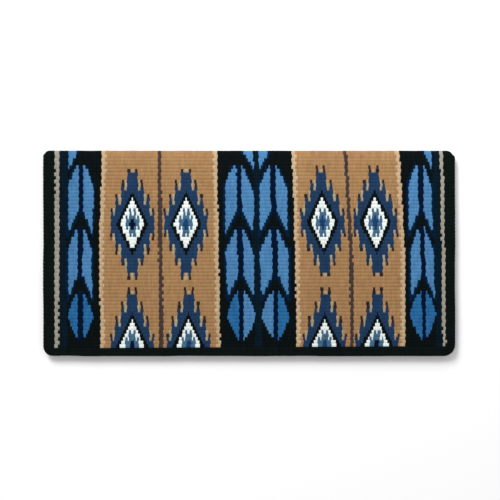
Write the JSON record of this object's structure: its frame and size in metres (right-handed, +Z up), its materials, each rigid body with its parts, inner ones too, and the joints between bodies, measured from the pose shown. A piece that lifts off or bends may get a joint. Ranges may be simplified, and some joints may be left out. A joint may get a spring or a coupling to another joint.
{
  "type": "folded wool saddle blanket pad",
  "caption": "Thick tapestry-woven wool saddle pad folded along the spine, with striped tan panels, serrated medallions, blue feather bands and a dark border.",
  "frame": {"origin": "centre of the bottom of the folded pad, on the surface it lies on", "axes": "+X along the horse's spine towards the rear end, +Y towards the fold, +Z up through the two layers, the near-side flap on top"},
  "size_m": [0.864, 0.432, 0.017],
  "materials": {
    "wool_black": "matt coarse wool yarn, near black",
    "wool_cream": "matt coarse wool yarn, undyed grey-cream",
    "wool_feather_blue": "matt coarse wool yarn, mid blue feathers on a near-black navy ground",
    "wool_dark_plum": "matt coarse wool yarn, dark plum brown",
    "wool_tan": "matt coarse wool yarn, tan with pale cream picks at the panel edges",
    "wool_navy": "matt coarse wool yarn, navy, around a white centre with a blue star"
  },
  "bodies": {
    "off_flap": {"off_front_end_band": "wool_black", "off_front_pinstripe": "wool_cream", "off_front_feather_band": "wool_feather_blue", "off_front_tan_divider": "wool_dark_plum", "off_centre_feather_band": "wool_feather_blue", "off_rear_tan_divider": "wool_dark_plum", "off_rear_feather_band": "wool_feather_blue", "off_rear_pinstripe": "wool_cream", "off_rear_end_band": "wool_black", "off_drop_border": "wool_black", "off_tan_panel_1": "wool_tan", "off_medallion_1": "wool_navy", "off_half_medallion_1": "wool_navy", "off_tan_panel_2": "wool_tan", "off_medallion_2": "wool_navy", "off_half_medallion_2": "wool_navy", "off_tan_panel_3": "wool_tan", "off_medallion_3": "wool_navy", "off_half_medallion_3": "wool_navy", "off_tan_panel_4": "wool_tan", "off_medallion_4": "wool_navy", "off_half_medallion_4": "wool_navy"},
    "spine": {"spine_front_end": "wool_black", "spine_front_feather": "wool_feather_blue", "spine_front_tan": "wool_tan", "spine_centre_feather": "wool_feather_blue", "spine_rear_tan": "wool_tan", "spine_rear_feather": "wool_feather_blue", "spine_rear_end": "wool_black"},
    "near_flap": {"near_front_end_band": "wool_black", "near_front_pinstripe": "wool_cream", "near_front_feather_band": "wool_feather_blue", "near_front_tan_divider": "wool_dark_plum", "near_centre_feather_band": "wool_feather_blue", "near_rear_tan_divider": "wool_dark_plum", "near_rear_feather_band": "wool_feather_blue", "near_rear_pinstripe": "wool_cream", "near_rear_end_band": "wool_black", "near_drop_border": "wool_black", "near_tan_panel_1": "wool_tan", "near_medallion_1": "wool_navy", "near_half_medallion_1": "wool_navy", "near_tan_panel_2": "wool_tan", "near_medallion_2": "wool_navy", "near_half_medallion_2": "wool_navy", "near_tan_panel_3": "wool_tan", "near_medallion_3": "wool_navy", "near_half_medallion_3": "wool_navy", "near_tan_panel_4": "wool_tan", "near_medallion_4": "wool_navy", "near_half_medallion_4": "wool_navy"}
  },
  "joints": [
    {"name": "spine_turn", "type": "hinge", "parent": "off_flap", "child": "spine", "pos_m": [0, 0.21103, 0.00497], "axis": [-1, 0, 0], "range_deg": [0, 90]},
    {"name": "flap_turn", "type": "hinge", "parent": "spine", "child": "near_flap", "pos_m": [0, 0.21103, 0.01203], "axis": [-1, 0, 0], "range_deg": [0, 90]}
  ],
  "couplings": [
    {"joint": "spine_turn", "follows": "flap_turn", "ratio": 1}
  ]
}
